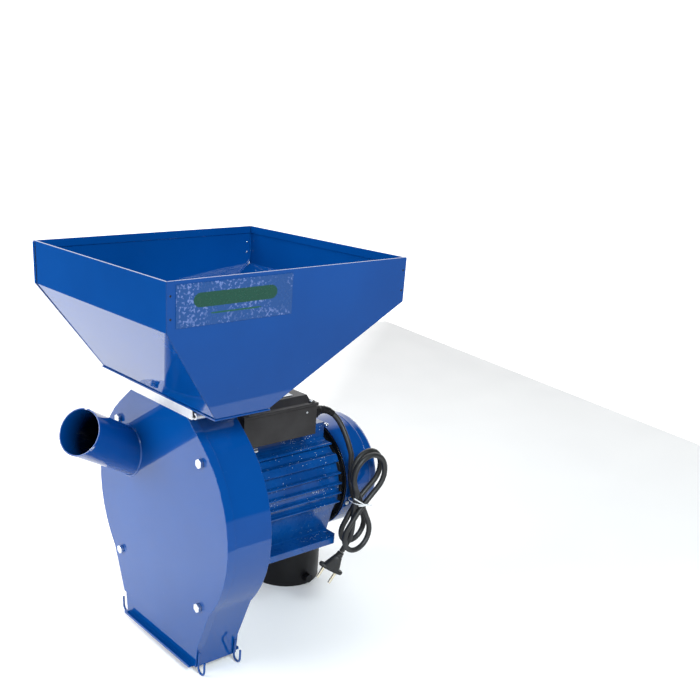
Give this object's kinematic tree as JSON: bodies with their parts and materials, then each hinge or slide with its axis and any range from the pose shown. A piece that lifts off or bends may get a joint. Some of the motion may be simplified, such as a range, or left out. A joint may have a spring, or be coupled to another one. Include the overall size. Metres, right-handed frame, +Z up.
{
  "type": "hammer mill",
  "caption": "Small electric hammer mill: sheet-steel hopper with slide gate, round chamber with swinging hammers, cob pipe, bag outlet and induction motor.",
  "frame": {"origin": "middle of the base: the centre of the bounding box of everything but the mains lead, at the floor that the bag hooks and the support foot stand on", "axes": "+Z up; -Y is the side with the chamber cover and the cob pipe; +Y runs along the motor; +X is the side with the mains lead"},
  "size_m": [0.313, 0.4406, 0.5309],
  "materials": {
    "blue_enamel": "glossy blue enamel over sheet steel",
    "motor_blue": "blue paint over cast aluminium, slightly lumpy",
    "fan_cover_blue": "glossy blue enamel",
    "dark_casting": "dark casting in shadow",
    "zinc": "bright zinc plate",
    "bare_steel": "machined steel",
    "lamination_steel": "stacked lamination steel",
    "box_plastic": "fine-grained charcoal plastic",
    "black_plastic": "satin black plastic",
    "plate_silver": "matt silver foil plate",
    "capacitor_can": "plain drawn can",
    "label_film": "clear film printed with a plain green band",
    "black_rubber": "black PVC sheath",
    "pin_brass": "nickel-flashed brass"
  },
  "bodies": {
    "frame": {"chamber_shell": "blue_enamel", "chamber_back_plate": "blue_enamel", "front_cover": "blue_enamel", "cob_pipe": "blue_enamel", "hopper_base": "blue_enamel", "hopper_front_panel": "blue_enamel", "hopper_right_panel": "blue_enamel", "hopper_rear_panel": "blue_enamel", "hopper_left_panel": "blue_enamel", "bag_hook_1": "blue_enamel", "bag_hook_2": "blue_enamel", "bag_hook_3": "blue_enamel", "bag_hook_4": "blue_enamel", "drive_end_shield": "motor_blue", "motor_frame": "motor_blue", "fan_cover": "fan_cover_blue", "rear_end_shield": "dark_casting", "gate_guide": "zinc", "foot_bolt": "zinc", "chamber_bolt_1": "zinc", "chamber_bolt_2": "zinc", "chamber_bolt_3": "zinc", "chamber_bolt_4": "zinc", "hopper_bolt_1": "zinc", "hopper_bolt_2": "zinc", "hopper_bolt_3": "zinc", "hopper_bolt_4": "zinc", "sieve_ring": "bare_steel", "drive_bearing": "bare_steel", "rear_bearing": "bare_steel", "stator_core": "lamination_steel", "terminal_box": "box_plastic", "terminal_lid": "box_plastic", "cable_gland": "black_plastic", "support_foot": "black_plastic", "support_screw": "black_plastic", "rating_plate": "plate_silver", "start_capacitor": "capacitor_can", "hopper_label": "label_film", "cord_lead": "black_rubber", "cord_hank": "black_rubber", "plug_body": "black_rubber", "plug_pin_1": "pin_brass", "plug_pin_2": "pin_brass"},
    "rotor": {"motor_shaft": "bare_steel", "rotor_core": "lamination_steel", "rotor_hub": "bare_steel", "cooling_fan": "black_plastic", "hammer_pin_1": "bare_steel", "hammer_pin_2": "bare_steel", "hammer_pin_3": "bare_steel", "hammer_pin_4": "bare_steel"},
    "gate": {"feed_gate": "zinc"},
    "hammers_1": {"hammer_set_1": "bare_steel"},
    "hammers_2": {"hammer_set_2": "bare_steel"},
    "hammers_3": {"hammer_set_3": "bare_steel"},
    "hammers_4": {"hammer_set_4": "bare_steel"}
  },
  "joints": [
    {"name": "rotor_spin", "type": "hinge", "parent": "frame", "child": "rotor", "pos_m": [-0.0004, -0.07873, 0.2014], "axis": [0, 1, 0], "continuous": true},
    {"name": "gate_slide", "type": "slide", "parent": "frame", "child": "gate", "axis": [1, 0, 0], "range_m": [0, 0.115]},
    {"name": "hammer_swing_1", "type": "hinge", "parent": "rotor", "child": "hammers_1", "pos_m": [-0.04848, -0.07873, 0.24948], "axis": [0, 1, 0], "continuous": true},
    {"name": "hammer_swing_2", "type": "hinge", "parent": "rotor", "child": "hammers_2", "pos_m": [0.04768, -0.07873, 0.24948], "axis": [0, 1, 0], "continuous": true},
    {"name": "hammer_swing_3", "type": "hinge", "parent": "rotor", "child": "hammers_3", "pos_m": [-0.04848, -0.07873, 0.15332], "axis": [0, 1, 0], "continuous": true},
    {"name": "hammer_swing_4", "type": "hinge", "parent": "rotor", "child": "hammers_4", "pos_m": [0.04768, -0.07873, 0.15332], "axis": [0, 1, 0], "continuous": true}
  ]
}
